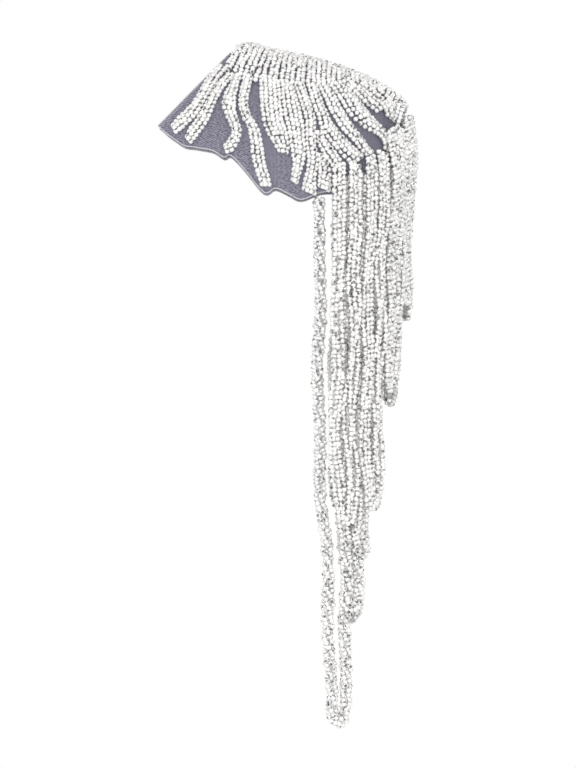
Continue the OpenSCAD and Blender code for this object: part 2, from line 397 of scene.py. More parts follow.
# %% A string of beads as one mesh
SIZE_SPREAD, SIZE_LIMIT = 0.035, 0.08
STRETCH = [-0.08, 0.06]
TONE_BETA = [2.2, 1.5]  # more beads are bright than dull
SQUARE_MARGIN = 0.06  # round a bead's square on the map
STEEP = 0.8  # above this a hole counts as upright

draw = np.random.default_rng(11)
bead_count = 0


def beads_at(centres, along, tip=0.25, shift=0.15):
    """Points, triangles, map and values of beads at the centres, with their holes along these lines."""
    n, count = len(centres), len(BEAD_POINTS)
    along = unit(unit(along) + draw.normal(0, tip, (n, 3)))
    helper = np.where(np.abs(along[:, 2:]) < STEEP, [[0.0, 0, 1]], [[1.0, 0, 0]])
    side = unit(np.cross(helper, along))
    turn = draw.uniform(0, 2 * math.pi, (n, 1))
    x = side * np.cos(turn) + np.cross(along, side) * np.sin(turn)
    y = np.cross(along, x)
    size = BEAD_D * (1 + np.clip(draw.normal(0, SIZE_SPREAD, (n, 1)), -SIZE_LIMIT, SIZE_LIMIT))
    stretch = size * (1 + draw.uniform(*STRETCH, (n, 1)))
    axes = np.stack([x * size, y * size, along * stretch], 1)
    points = np.einsum("pk,nkc->npc", BEAD_POINTS, axes)
    points += (centres + draw.normal(0, shift, (n, 3)))[:, None, :]
    triangles = BEAD_TRIANGLES[None] + (np.arange(n) * count)[:, None, None]
    squares = math.ceil(math.sqrt(n))
    corner = np.stack([np.arange(n) % squares, np.arange(n) // squares], -1)
    maps = (corner[:, None, :] + SQUARE_MARGIN + (1 - 2 * SQUARE_MARGIN) * BEAD_MAP[None]) / squares
    tone = np.clip(draw.beta(*TONE_BETA, n), 0, 1)
    values = {"tone": np.repeat(tone, count), "hole": np.tile(BEAD_HOLE, n)}
    return points.reshape(-1, 3), triangles.reshape(-1, 3), maps.reshape(-1, 2), values


def bead_piece(name, centres, along, slot, node, **how):
    """Beads as one piece that stands for one solid."""
    global bead_count
    points, triangles, maps, values = beads_at(centres, along, **how)
    bead_count += len(centres)
    return make_piece(name, points, triangles, GLASS, slot, [node], maps, values)


print(f"beads differ by up to {SIZE_LIMIT:.0%} in width")

# %% [markdown]
# Bands, edges and rows are short tables, the same as in the solids' source. A Catmull-Rom curve runs
# smoothly through a table's rows, whatever their columns mean, and `walk` then takes equal steps along
# a line, which is how beads of one size follow each other on a thread. Blender has curves of its own,
# but an array also carries other columns along, such as how wide a band is.

# %% Curves and equal steps
CURVE_PARTS = 12


def curve(rows, parts=CURVE_PARTS):
    """A Catmull-Rom curve through the rows, with so many parts between one row and the next."""
    p = np.asarray(rows, float)
    p = np.vstack([p[:1], p, p[-1:]])
    t = np.arange(parts)[:, None] / parts
    pieces = [
        0.5 * (2 * b + (c - a) * t + (2 * a - 5 * b + 4 * c - d) * t**2 + (3 * b - a - 3 * c + d) * t**3)
        for a, b, c, d in zip(p, p[1:], p[2:], p[3:])
    ]
    return np.vstack(pieces + [p[-1:]])


def lengths(line):
    """The distance along a line of points, at each point."""
    return np.concatenate([[0], np.cumsum(np.linalg.norm(np.diff(line[:, :3], axis=0), axis=1))])


def at(line, places):
    """All columns of a line at these distances along it."""
    s = lengths(line)
    return np.stack([np.interp(places, s, column) for column in line.T], -1)


def walk(line, pitch, margin):
    """Equal steps along a line, as near to the pitch as they fit between the margins."""
    total = lengths(line)[-1] - 2 * margin
    count = max(1, round(total / pitch))
    return at(line, margin + total * np.arange(count + 1) / count)


print("parts of a curve between two rows of a table:", CURVE_PARTS)

# %% [markdown]
# The bands spread from the spine like fingers, and none is straight. Each is traced as a few sections:
# where the middle of the band is, seen from the front, and how many beads wide it is there. Drawing
# them as curves by eye would be slower to correct than a table. The back has the same bands.

# %% Table of the fingers
FINGERS = [  # each section: x, z, number of bead rows
    [[-68.7, -6.5, 2], [-75, -14.5, 2.1], [-81.2, -25.4, 2], [-88, -35.8, 2.3], [-94.7, -42, 2.5],
     [-101, -48, 1.9]],
    [[-63.3, -12, 1.6], [-68.1, -17.5, 1.7], [-73.1, -26.4, 1.7], [-76.9, -34.5, 2.1], [-80.6, -41.6, 2.2],
     [-86.8, -49.9, 2.2], [-90.6, -55.5, 1.9]],
    [[-56.5, -12.8, 1.6], [-58.8, -18.7, 1.9], [-61.2, -27, 2.6], [-61.7, -32.4, 2.4], [-59, -40.3, 2],
     [-56.3, -47, 1.9], [-56.9, -53.7, 1.9], [-60.6, -59.5, 2.1], [-64.4, -62, 1.8]],
    [[-48.6, -13.5, 1.8], [-50.6, -22, 1.9], [-51.5, -30.4, 1.8], [-49, -38.7, 1.8], [-44.4, -46.2, 1.9],
     [-42.3, -55.3, 2.3], [-41.2, -63.7, 2.4], [-39.8, -72, 2.2], [-37.3, -80.3, 2.2], [-35.2, -87.5, 2]],
    [[-32.8, -15, 3.8], [-32, -27, 3.9], [-31.3, -34.5, 3.9], [-30, -43.7, 3.8], [-26.9, -51.2, 3.5],
     [-24.4, -57.8, 2.9], [-23.2, -64.5, 1.9]],
    [[-20.2, -17, 2.3], [-18.2, -27, 2.9], [-16.3, -37, 3.3], [-14.1, -47, 3.2], [-13.1, -55.3, 2.9],
     [-12.4, -63.7, 2.7], [-12.3, -71.1, 2.2], [-13.6, -77.8, 1.9], [-15.2, -85, 1.5]],
    [[-10.9, -19, 2], [-7, -30.4, 1.9], [-3.8, -40.3, 2], [-3.5, -51, 1.9], [-3.2, -60, 2],
     [-1.9, -67.8, 2.2], [-2.8, -76.1, 2.1], [-4, -83.6, 2.4], [-4.6, -92.3, 2.8]],
    [[4.2, -68, 0.9], [5, -71.5, 1.5], [6.3, -75.6, 2.3], [6.5, -81, 2.5], [6, -90, 2.6]],
    [[3, -52, 1.2], [4.8, -56.8, 1.8], [8.3, -62.8, 2.2], [12.6, -69, 2.4], [15.2, -74, 2.1]],
    [[-2, -19.5, 1.9], [1.6, -30.4, 2.1], [5, -37.9, 2.2], [7.6, -45.3, 2.5], [13, -52.6, 2.7],
     [18.7, -59.3, 3], [25.1, -66, 3], [30, -69, 2.6]],
    [[6.2, -19, 2.1], [10, -25.4, 2.3], [13.7, -33.5, 2.5], [17.8, -40.2, 2.5], [22.2, -46.8, 2.3],
     [28.7, -54.3, 2.1], [34.3, -61.7, 2], [37.6, -65, 1.8]],
    [[16, -18, 2.9], [21.5, -24.3, 3.5], [27.1, -32.4, 3.9], [32.4, -39.2, 3.6], [38.4, -44.5, 2.9],
     [45.1, -49.3, 2.2], [48.5, -55, 1.7], [49.3, -62, 1.5]],
    [[25.1, -17.5, 1.5], [30.6, -22.2, 1.8], [37, -28, 2], [44.4, -34.2, 1.6]],
    [[33, -18.2, 1.6], [37.6, -21, 1.8], [43.2, -25.5, 1.8], [46.7, -28.6, 1.7],
     [49.8, -33.4, 1.7], [51.6, -39, 1.8]],
]
print("fingers on each side:", len(FINGERS))

# %% [markdown]
# The fingers are bands sewn stitch by stitch across the band, each stitch a little aslant. The maker
# takes up one bead more than lie flat in the width, so every stitch arches over the net and the band
# is full and round. The beads are set out in the same way: equal steps along the middle of the band,
# and at each step a small arch of beads from one edge to the other. Scattering beads over the band
# would be quicker, but it would lose the stitches, which the eye follows along every band.

# %% Fingers
SEWN_GAP = 0.5
STITCH_PITCH = 3.35
STITCH_SLANT = 0.38
THREAD_PITCH = 3.3  # from bead to bead on one thread
TUCK = 3.0  # how far a band reaches in under the edge of the spine
INSIDE, NARROWEST = 0.8, 0.6  # how much less wide than its band a stitch is, and its least width, in rows
ARCH_SHARE = 3 / 8  # in a flat arch, the square of rise / chord for each share that it is longer


def finger_beads(rows, side):
    """Where the beads of a band are, and which way their holes run."""
    fine = curve(rows)
    start = fine[0, :2] - TUCK * unit(fine[3, :2] - fine[0, :2])
    fine = np.vstack([[start[0], start[1], fine[0, 2]], fine])
    line = np.column_stack([seen(fine[:, 0], fine[:, 1], side), fine[:, 2]])
    steps = walk(line, STITCH_PITCH, BEAD_D / 3)
    middle, wide = steps[:, :3], steps[:, 3]
    ahead = unit(np.gradient(middle, axis=0))
    centres, along = [], []
    for p, w, a in zip(middle, wide, ahead):
        stitch = unit(np.cross(a, outward(p))) + a * side * STITCH_SLANT
        count = max(2, round(w) + 1)
        chord = max(NARROWEST, w - INSIDE) * ROW_D
        longer = max(0, (count - 1) * THREAD_PITCH / chord - 1)
        arch = chord * math.sqrt(ARCH_SHARE * longer)
        for c in np.linspace(-1, 1, count):
            q = settle(p + stitch * c * chord / 2)
            centres.append(q + outward(q) * (SEWN_GAP + BEAD_D / 2 + arch * (1 - c * c)))
            along.append(stitch - outward(q) * c * arch * 4 / chord)
    return np.array(centres), np.array(along)


for word, side in SIDES.items():
    for i, rows in enumerate(FINGERS, 1):
        centres, along = finger_beads(rows, side)
        node = f"{word}_finger_{i:02d}"
        bead_piece(f"{node}_beads", centres, along, "pad_beads", node)
print("beads on the fingers:", bead_count)

# %% [markdown]
# The spine is a field of rows that cross the shoulder line from edge to edge. Towards the neck the rows
# are sewn over padding and rise to a hump, and again over the arm. A flat field with a bump map would
# not change the outline, so the rows are lines over the net between the stations of the table, lifted
# by the humps, and the beads lie on the top of the solid. Where the rows fan out round the arm, a short
# row fills in from the edge, as a maker would do.

# %% Spine
ROW_PITCH = 3.5
ROW_LEAN = 2.5
ROW_REACH, ROW_POINTS = 1.03, 61  # a row runs a little over its edges
TOP_POINTS = 200
SHORT_ROW_FROM = 1.6  # a short row fills in where two rows are this many rows apart
SHORT_ROW_POINTS = 3  # and that for more than this many points
HUMPS = [[-46.0, 10.0, 3.4], [58.5, 6.0, 4.3]]  # place, reach, height
SPINE_STATIONS = np.array([  # place on the shoulder line, edge x, edge z
    [-57, -66, -3], [-51.5, -59, -8], [-45, -52, -10.5], [-38, -44, -11.5], [-30, -33, -12],
    [-20, -21, -13], [-9, -9, -15], [2, 3, -16], [13, 15, -14], [25, 27, -14],
    [36, 37.5, -17], [46, 47, -21.5], [50, 51, -28], [53, 53.5, -36], [56, 56.3, -43],
    [58.5, 59, -47], [60.5, 61.3, -49],
])


def spine_lift(x, share):
    """How thick the spine is."""
    rise = sum(high * np.exp(-(((x - place) / reach) ** 2)) for place, reach, high in HUMPS)
    return ROW_D + rise * (1 - share**2)


def spine_rows():
    """The rows of the spine as beads' places: the long ones, then the short ones between them."""
    stations = curve(SPINE_STATIONS)
    first, last = stations[0, 0] + BEAD_D / 2, stations[-1, 0] - BEAD_D / 2
    along_top = np.linspace(first, last, TOP_POINTS)
    places = walk(np.stack([along_top, 0 * along_top, ridge_z(along_top)], -1), ROW_PITCH, 0)[:, 0]
    share = np.linspace(-ROW_REACH, ROW_REACH, ROW_POINTS)
    lines = []
    for middle in places:
        x = np.clip(middle - ROW_LEAN * share, first, last)
        net = net_line([np.interp(x, stations[:, 0], column) for column in stations.T], share)
        lift = spine_lift(x, share) - BEAD_D / 2 + SEWN_GAP
        lines.append(net + outward(net) * lift[:, None])
        yield walk(lines[-1], THREAD_PITCH, 0)
    for a, b in zip(lines, lines[1:]):
        wide = np.linalg.norm(a - b, axis=1) > SHORT_ROW_FROM * ROW_PITCH
        for half in (share < 0, share > 0):
            if (wide & half).sum() > SHORT_ROW_POINTS:
                yield walk(((a + b) / 2)[wide & half], THREAD_PITCH, 0)


rows = list(spine_rows())
spine = bead_piece(
    "spine_beads_row", np.vstack(rows), np.vstack([np.gradient(r, axis=0) for r in rows]),
    "pad_beads", "spine_beads", tip=0.5, shift=0.3,
)
print("rows over the shoulder line:", len(rows))

# %% [markdown]
# The fringe is long loops, and each strand of a loop is three strings of beads. The loops hang in three
# layers that lie one over another. The inner one starts at the hem. The outer two are sewn on some way
# above it, over the ends of the bands, and the outermost ones highest at the side. Each start could
# be traced from the real one, but a formula is a few numbers and keeps the starts on one soft line.

# %% Where the strands are sewn on
LAYER_GAP = 0.7
STRAND_W, STRAND_T = 2 * ROW_D, ROW_D + 0.2
LAYER_STEP = STRAND_T + LAYER_GAP
FAN_RIDGE_REACH = 28.0
RISES = {2: [10, 0, 6], 3: [18, 9, 13]}  # at the front, added at the side, taken off over the arm
SIDE_FROM, SIDE_OVER = 40, 14  # where round the arm, in degrees, and over how many
ARM_FROM, ARM_OVER = 56, 20
START, SEWN_POINTS = -0.1, 7  # 0 is where the solid starts, and 1 is the hem
HIGHER, HIGHER_FROM, HIGHER_OVER = 0.35, 62, 8  # strands over the arm start higher, in shares of the rise
CLIMB_FROM, CLIMB_STEPS = 0.2, 14  # of halving the way between the shoulder line and the hem
LOOPS = [  # layer, angle of each leg round the arm, fall
    [1, -2.3, 13, 471], [3, 10, 20.5, 328], [2, 15.4, 26, 388], [1, 27.5, 37, 352],
    [3, 32, 41.5, 318], [2, 36.7, 46.8, 303], [1, 46, 55, 284], [3, 52.5, 61.5, 232],
    [2, 57, 66.3, 222], [1, 64, 73, 206], [3, 71.5, 81.5, 170],
]
TIP_LOOP = [2, 79, 178]


def hem_point(angle, side):
    """The hem's point at an angle round the arm."""
    x = FAN_X + (TIP_X - FAN_X) * math.sin(math.radians(angle))
    return seen(x, hem_z(x), side)


def layer_lift(layer):
    """How far the middle of a layer's strands lies from the net."""
    return (layer - 2) * LAYER_STEP + SEWN_GAP + STRAND_T / 2


def soft(t):
    """From 0 to 1 with a soft start and end."""
    t = min(1, max(0, t))
    return t * t * (3 - 2 * t)


def rise(layer, angle):
    """How far up from the hem a leg is sewn on."""
    front, side, arm = RISES[layer]
    at_side, at_arm = soft((angle - SIDE_FROM) / SIDE_OVER), soft((angle - ARM_FROM) / ARM_OVER)
    return front + side * at_side - arm * at_arm


def climb(hem, top_x, want):
    """The point of the net above a point of the hem, at the wanted distance from it."""
    few, all_ = CLIMB_FROM, 1.0
    for _ in range(CLIMB_STEPS):
        f = (few + all_) / 2
        p = under(top_x + (hem[0] - top_x) * f, hem[1] * f)
        if np.linalg.norm(p - hem) > want:
            few = f
        else:
            all_ = f
    return p


def sewn_part(layer, angle, side):
    """Points of a leg on the net, from its start down to the hem, and the way outward at each."""
    if layer == 1:
        return []
    hem = hem_point(angle, side)
    top_x = FAN_X + FAN_RIDGE_REACH * math.sin(math.radians(angle))
    start = START - HIGHER * soft((angle - HIGHER_FROM) / HIGHER_OVER)
    part = []
    for t in np.linspace(start, 1, SEWN_POINTS):
        p = climb(hem, top_x, rise(layer, angle) * (1 - t))
        part.append((p + outward(p) * layer_lift(layer), outward(p)))
    return part


print("loops on each side:", len(LOOPS), "and one at the tip")

# %% [markdown]
# Below the hem the strands hang free. A cloth or rope simulation could hang them, but the strings are
# heavy and straight, and a formula keeps each in its layer. The strands lean in, the layers swing apart,
# long ones drift sideways lower down, and all share one slight sway.

# %% How a strand hangs
# each fall is how far below the hem the lean, the drift and the sway reach their full value
LEAN_SHARE, LEAN_X, LEAN_FALL = 0.12, 60.0, 70
LAYER_SWING = 1.6
DRIFT_X, DRIFT_SHARE, DRIFT_FALL = 22.0, 0.7, 375
SWAY, SWAY_TURN, SWAY_FALL = [1.5, 1.2], [1.6, 0.8], 100


def leg_foot(layer, angle, side):
    """Where a leg leaves the hem."""
    hem = hem_point(angle, side)
    up = outward(hem)
    return hem + unit(np.array([up[0], up[1], 0])) * layer_lift(layer)


def hang(p, mid_x, along, out, top_z):
    """A point of a straight leg, moved to where it hangs."""
    d = max(0.0, top_z - p[2])
    lean = np.array([LEAN_SHARE * (FAN_X - min(mid_x, LEAN_X)), 0, 0]) + out * LAYER_SWING
    drift = along * along[0] * max(0, DRIFT_X - mid_x) * DRIFT_SHARE * (d / DRIFT_FALL) ** 2
    turn = [math.sin(math.radians(rate * (p[2] + FRONT_FALL))) for rate in SWAY_TURN]
    sway = np.array([SWAY[0] * turn[0], SWAY[1] * turn[1], 0])
    return p + drift + soft(d / LEAN_FALL) * lean - min(1, d / SWAY_FALL) * sway


print("where the front fringe leaves the hem:", leg_foot(1, LOOPS[0][1], FRONT).round(1))

# %% [markdown]
# A loop runs down one leg, turns in a half circle and comes up the other. The legs start as far apart
# as they are sewn on and close on the way down. The route is that of the solid, with smaller steps.

# %% Route of a loop
LOOP_R = STRAND_W / 2 + 0.6
CLOSING = 0.25
STRAIGHT = 3  # a leg hangs straight from this far below the hem, and is straight this far above its bend
HANG_STEP = 8.0
BEND_TURNS = np.radians(np.arange(180, -1, -15))
UP = np.array([0.0, 0, 1])


def loop_route(layer, a, side_a, b, side_b, fall):
    """Points down one leg, round the bottom and up the other, and which way is outward at each."""
    foot_a, foot_b = leg_foot(layer, a, side_a), leg_foot(layer, b, side_b)
    top_z = min(foot_a[2], foot_b[2]) - STRAIGHT
    mid = np.array([(foot_a[0] + foot_b[0]) / 2, (foot_a[1] + foot_b[1]) / 2, -fall])
    gap = (foot_b - foot_a) * [1, 1, 0]
    half, e = np.linalg.norm(gap) / 2, unit(gap)
    face = np.cross(e, UP)
    if mid[0] > 0 and face @ (mid * [1, 1, 0]) < 0:
        face = -face
    bottom = LOOP_R + STRAND_T / 2
    steps = math.ceil((fall + top_z) / HANG_STEP)
    heights = np.linspace(fall + top_z, bottom + STRAIGHT, steps + 1)
    spread = LOOP_R + (half - LOOP_R) * (1 - np.exp(-(heights - bottom) / (CLOSING * (fall + top_z))))
    down = [mid + UP * h - e * s for h, s in zip(heights, spread)]
    back_up = [mid + UP * h + e * s for h, s in zip(heights[::-1], spread[::-1])]
    bend = [
        mid + e * LOOP_R * math.cos(t) + UP * (bottom - LOOP_R * math.sin(t)) for t in BEND_TURNS
    ]
    out = face * (layer - 2)
    hung = [(hang(p, mid[0], e, out, top_z), face) for p in down + bend + back_up]
    route = sewn_part(layer, a, side_a) + hung + sewn_part(layer, b, side_b)[::-1]
    return np.array([r[0] for r in route]), np.array([r[1] for r in route])


longest = loop_route(LOOPS[0][0], LOOPS[0][1], FRONT, LOOPS[0][2], FRONT, LOOPS[0][3])[0]
print(f"the longest loop is {lengths(longest)[-1]:.0f} mm of strand")

# %% [markdown]
# Where the fringe is dense the three strings of a strand lie side by side, with the beads of one against
# the gaps of the next, and each wanders a little sideways, as loose strings do. Lower down, where few
# strands hang free, they are turned round each other like a rope, and the longest loop is a rope from
# its top. So a string's place goes from its place in the flat row to a place on a small circle that
# turns on the way down. A screw modifier would turn them evenly, but it could not begin so softly.

# %% Strings of a strand
STRINGS, STRING_STEP = 3, 3.25
ROPE_TOP_Z, ROPE_FADE = -300.0, 50.0
ROPE_TURN, ROPE_RADIUS = 36.0, 2.6
WOBBLE, WOBBLE_LENGTH = 0.35, 46.0
WANDER, WANDER_LENGTH = 0.8, [55.0, 105.0]  # how far and how slowly one string wanders sideways
STRAY, STRAY_LENGTH = 1.2, 95.0  # how far and how slowly a strand strays from its solid
FREE_FROM, FREE_OVER = 40, 60  # below its top, where it may stray, and over how many millimetres
FINE_STEP = 2.0


def strings_of(points, faces, rope_top_z):
    """The strings of one strand, as lines of points."""
    even = lengths(points)
    fine = np.arange(0, even[-1], FINE_STEP)
    line = at(points, fine)
    face = np.stack([np.interp(fine, even, column) for column in faces.T], -1)
    ahead = unit(np.gradient(line, axis=0))
    wide = unit(np.cross(ahead, face))
    thick = np.cross(wide, ahead)
    deep = np.clip((line[0, 2] - FREE_FROM - line[:, 2]) / FREE_OVER, 0, 1)
    phase = draw.uniform(0, 2 * math.pi)
    line = line + wide * (STRAY * deep * np.sin(2 * math.pi * fine / STRAY_LENGTH + phase))[:, None]
    rope = np.clip((rope_top_z - line[:, 2]) / ROPE_FADE, 0, 1)
    turned = 2 * math.pi * np.cumsum(rope) * FINE_STEP / ROPE_TURN
    wobble = WOBBLE * np.sin(2 * math.pi * fine / WOBBLE_LENGTH + phase)
    for k in range(STRINGS):
        place = turned + wobble + 2 * math.pi * k / STRINGS
        flat = k - (STRINGS - 1) / 2
        waves = 2 * math.pi * fine / draw.uniform(*WANDER_LENGTH) + draw.uniform(0, 2 * math.pi)
        wander = WANDER * deep * np.sin(waves)
        x = (1 - rope) * (flat * STRING_STEP + wander) + rope * ROPE_RADIUS * np.cos(place)
        y = (1 - rope) * (wobble * (1 + flat) + wander / 2) + rope * ROPE_RADIUS * np.sin(place)
        yield line + wide * x[:, None] + thick * y[:, None]


print("strings in a strand:", STRINGS)

# %% [markdown]
# A thread runs through every string, and the net has a rolled hem: both are thin round tubes along a
# line. A Blender curve with a bevel is such a tube, but an array of rings can be joined to other meshes
# and its sides counted beforehand.

# %% Tubes
def tube(line, diameter, sides, helper, capped=False):
    """Points and triangles of a tube along a line. No part of the line may run along the helper."""
    ahead = unit(np.gradient(line, axis=0))
    x = unit(np.cross(ahead, helper))
    y = np.cross(ahead, x)
    turns = (2 * math.pi * np.arange(sides) / sides)[:, None]
    rings = line[:, None] + (x[:, None] * np.cos(turns) + y[:, None] * np.sin(turns)) * diameter / 2
    start = np.arange(len(line) - 1)[:, None] * sides
    a = (start + np.arange(sides)).ravel()
    b = (start + (np.arange(sides) + 1) % sides).ravel()
    triangles = [np.stack([a, b, b + sides], -1), np.stack([a, b + sides, a + sides], -1)]
    if capped:
        last = (len(line) - 1) * sides
        fan = range(1, sides - 1)
        triangles += [[[0, k + 1, k] for k in fan], [[last, last + k, last + k + 1] for k in fan]]
    return rings.reshape(-1, 3), np.vstack(triangles)


print("a tube can be made along any line")

# %% [markdown]
# Now the loops themselves. The strings of a strand start a third of a bead's step apart, so their beads
# fall into each other's gaps, and the beads tip more than sewn ones, because nothing holds them. At the
# back each loop is a few millimetres longer or shorter than at the front, as in handwork.

# %% Loops of the fringe
THREAD_D, THREAD_SIDES, THREAD_HELPER = 1.2, 4, [0.3, 0.9, 0.31]
BACK_SHIFT, BACK_TURN = 11.0, 137.5  # how much the back's loops differ, and a turn that spreads it

threads, fringe = [], []


def fringe_loop(name, node, *how, rope_top_z=ROPE_TOP_Z):
    """The beads and the threads of one loop; how says what its route takes."""
    centres, along = [], []
    for turn, line in enumerate(strings_of(*loop_route(*how), rope_top_z)):
        beads = walk(line, THREAD_PITCH, BEAD_D / 2 + turn * THREAD_PITCH / STRINGS)
        centres.append(beads)
        along.append(np.gradient(beads, axis=0))
        threads.append(tube(beads[::2], THREAD_D, THREAD_SIDES, THREAD_HELPER, capped=True))
    centres, along = np.vstack(centres), np.vstack(along)
    fringe.append(bead_piece(name, centres, along, "fringe_beads", node, tip=1.1, shift=0.3))


for word, side in SIDES.items():
    for i, (layer, a, b, fall) in enumerate(LOOPS):
        shorter = 0 if side == FRONT else BACK_SHIFT * math.sin(math.radians(BACK_TURN * i))
        node = f"{word}_loop_{i + 1:02d}"
        rope_top_z = 0 if i == 0 else ROPE_TOP_Z
        fringe_loop(f"{node}_beads", node, layer, a, side, b, side, fall - shorter, rope_top_z=rope_top_z)
layer, angle, fall = TIP_LOOP
fringe_loop("tip_loop_beads", "tip_loop", layer, angle, FRONT, angle, BACK, fall)
print("loops:", len(fringe), "beads in all:", bead_count)

# %% [markdown]
# The thread is white and waxed, and shows only as a dot between one bead and the next. So all the
# threads are one mesh, with every second bead as a point of its tube, which is fine enough for a dot.

# %% Thread
def thread_cotton():
    r = recipe_for("thread")
    twist = r.add("ShaderNodeTexNoise", {}, {"Scale": 2500.0, "Detail": 1.0})
    colour = r.blend(twist, (0.62, 0.61, 0.60, 1), (0.84, 0.83, 0.80, 1))
    return r.finish(Base_Color=colour, Roughness=0.8)


def joined(parts):
    """Many meshes as one."""
    start = np.cumsum([0] + [len(p[0]) for p in parts[:-1]])
    return np.vstack([p[0] for p in parts]), np.vstack([p[1] + s for p, s in zip(parts, start)])


points, triangles = joined(threads)
thread = make_piece("fringe_thread", points, triangles, thread_cotton(), "net")
print("triangles of thread:", len(triangles))

# %% [markdown]
# The pad is a fine net, drawn taut by the bands and free at the hem, where it ripples. It is one sheet
# on the outer face of its solid. A plane with a cloth simulation would sag away from the beads that are
# sewn on it, so the sheet is a grid of points on the net's own surface, from the neck round to the arm,
# and only the ripple lifts it. `weave_mm` is each point's place in millimetres as measured on the net.

# %% Net as a sheet
RIPPLE, RIPPLE_LENGTH, RIPPLE_NARROW = 0.7, 13.0, 6  # the last is a power that keeps it at the hem
NET_PARTS, NET_SHARES = 4, 25
ARM_CROWD = 1.25  # above 1, the stations round the arm begin closer together
NET_TIP = [TIP_X, 0, float(ridge_z(TIP_X))]
NECK_STATIONS = np.array([  # place on the shoulder line, hem x, hem z
    [-60, -112, -44.5], [-59, -103, -52], [-57.5, -93, -58.5], [-55, -83, -60],
    [-52, -72, -62.5], [-50, -65, -67], [-47.5, -60, -65.5], [-44, -50, -76],
    [-38, -36.5, -92], [-32, -28.5, -89], [-23, -19, -93], [-12, -10, -97],
])
ARM_ANGLES = np.radians([0, 12, 24, 36, 48, 58, 67, 75, 82])


def arm_stations():
    """The stations round the arm, where the hem follows a formula."""
    x = ARM_X + (TIP_X - ARM_X) * np.sin(ARM_ANGLES)
    ridge = ARM_X + (TIP_X - ARM_X) * (ARM_ANGLES / (math.pi / 2)) ** ARM_CROWD
    return np.stack([ridge, x, hem_z(x)], -1)


def net_grid(share):
    """Points of the net, one row for each station and one more at the tip."""
    stations = curve(np.vstack([NECK_STATIONS, arm_stations()]), NET_PARTS)
    return np.array([net_line(s, share) for s in stations] + [np.tile(NET_TIP, (len(share), 1))])


share = np.linspace(-1, 1, 2 * NET_SHARES - 1)
grid = net_grid(share)
rows_n, cols_n = grid.shape[:2]
across_mm = np.cumsum(np.linalg.norm(np.diff(grid, axis=1, prepend=grid[:, :1]), axis=2), 1)
across_mm -= across_mm[:, [cols_n // 2]]
along_mm = np.cumsum(np.linalg.norm(np.diff(grid, axis=0, prepend=grid[:1]), axis=2), 0)
hem_share = np.abs(share) ** RIPPLE_NARROW
ripple = RIPPLE * np.sin(2 * math.pi * along_mm / RIPPLE_LENGTH) * hem_share
body = grid[:-1] + outward(grid[:-1]) * (ripple[:-1, :, None] - RIPPLE * hem_share[None, :, None])
points = np.vstack([body.reshape(-1, 3), [NET_TIP]])
index = np.arange((rows_n - 1) * cols_n).reshape(rows_n - 1, cols_n)
a, b, c, d = (m.ravel() for m in (index[:-1, :-1], index[:-1, 1:], index[1:, 1:], index[1:, :-1]))
to_tip = np.stack([index[-1, :-1], index[-1, 1:], np.full(cols_n - 1, len(points) - 1)], -1)
triangles = np.vstack([np.stack([a, c, b], -1), np.stack([a, d, c], -1), to_tip[:, [0, 2, 1]]])
weave_mm = np.stack([along_mm, across_mm, np.zeros_like(along_mm)], -1)
weave_mm = np.vstack([weave_mm[:-1].reshape(-1, 3), weave_mm[-1, cols_n // 2][None]])
flat_map = (weave_mm[:, :2] - weave_mm[:, :2].min(0)) / np.ptp(weave_mm[:, :2], axis=0).max()
print("triangles of net:", len(triangles))

# %% [markdown]
# The net is grey with a breath of lilac. Its weave is far too fine for geometry, so it is in the
# material: three families of threads that cross at sixty degrees leave small holes, where the net lets
# through some of what is behind it. The pattern follows the millimetres measured on the net.

# %% Net cloth
WEAVE_LENGTH = 1.1  # from one thread of the net to the next
GRAIN_LENGTH, GRAIN_SLANT, GRAIN_SHARE = 2.1, 0.75, 0.15  # of the lines that crossing threads make
HOLE_COVER = 0.78  # how much a hole of the net still hides
NET_SHADE, NET_LIGHT = (0.06, 0.058, 0.077, 1), (0.28, 0.272, 0.35, 1)


def net_tulle():
    """The net's cloth: three families of threads, a slanting grain and soft clouds of shade."""
    r = recipe_for("net_tulle")
    weave = r.attribute("weave", "Vector")
    along, across = (r.add("ShaderNodeSeparateXYZ", {}, {0: weave}, output=k) for k in (0, 1))
    cell = 2 * math.pi / WEAVE_LENGTH
    threads_at = [
        (along * (math.cos(t) * cell) + across * (math.sin(t) * cell)).sine()
        for t in np.radians([0, 60, 120])
    ]
    cloth = threads_at[0].most(threads_at[1]).most(threads_at[2])
    cover = r.ramp(cloth, 0.2, 0.9)
    grain = r.ramp(((across * GRAIN_SLANT + along) * (2 * math.pi / GRAIN_LENGTH)).sine(), -1, 1)
    cloud = r.add("ShaderNodeTexNoise", {}, {"Vector": weave, "Scale": 0.8})
    shade = r.ramp(grain * GRAIN_SHARE + cloud * (1 - GRAIN_SHARE), 0.3, 0.7)
    tone = r.blend(shade, NET_SHADE, NET_LIGHT)
    bump = r.add("ShaderNodeBump", {}, {"Strength": 0.4, "Distance": 0.0004, "Height": cover})
    alpha = HOLE_COVER + cover * (1 - HOLE_COVER)
    return r.finish(Base_Color=tone, Roughness=0.62, Alpha=alpha, Normal=bump)


net = make_piece(
    "net_cloth", points, triangles, net_tulle(), "net", ["net_pad"],
    maps=flat_map[triangles].reshape(-1, 2), values={"weave": weave_mm},
)
corners = points[triangles]
one_side, other_side = corners[:, 1] - corners[:, 0], corners[:, 2] - corners[:, 0]
net_area = np.linalg.norm(np.cross(one_side, other_side), axis=1).sum() / 2
print(f"net: {net_area / 100:.0f} square centimetres")

# %% [markdown]
# The cut edge of the net is rolled into a thin hem with a lighter line of stitches. It is a round cord
# along the sheet's edge: down the neck edge, along the front hem and back along the rear one. The net,
# its hem, the thread and all that is sewn on move together as one piece of cloth.

# %% Hem
HEM_D, HEM_SIDES, HEM_HELPER = 0.9, 6, [0.2, 0.1, 0.97]
HEM_STEP = 0.2  # the least from one point to the next


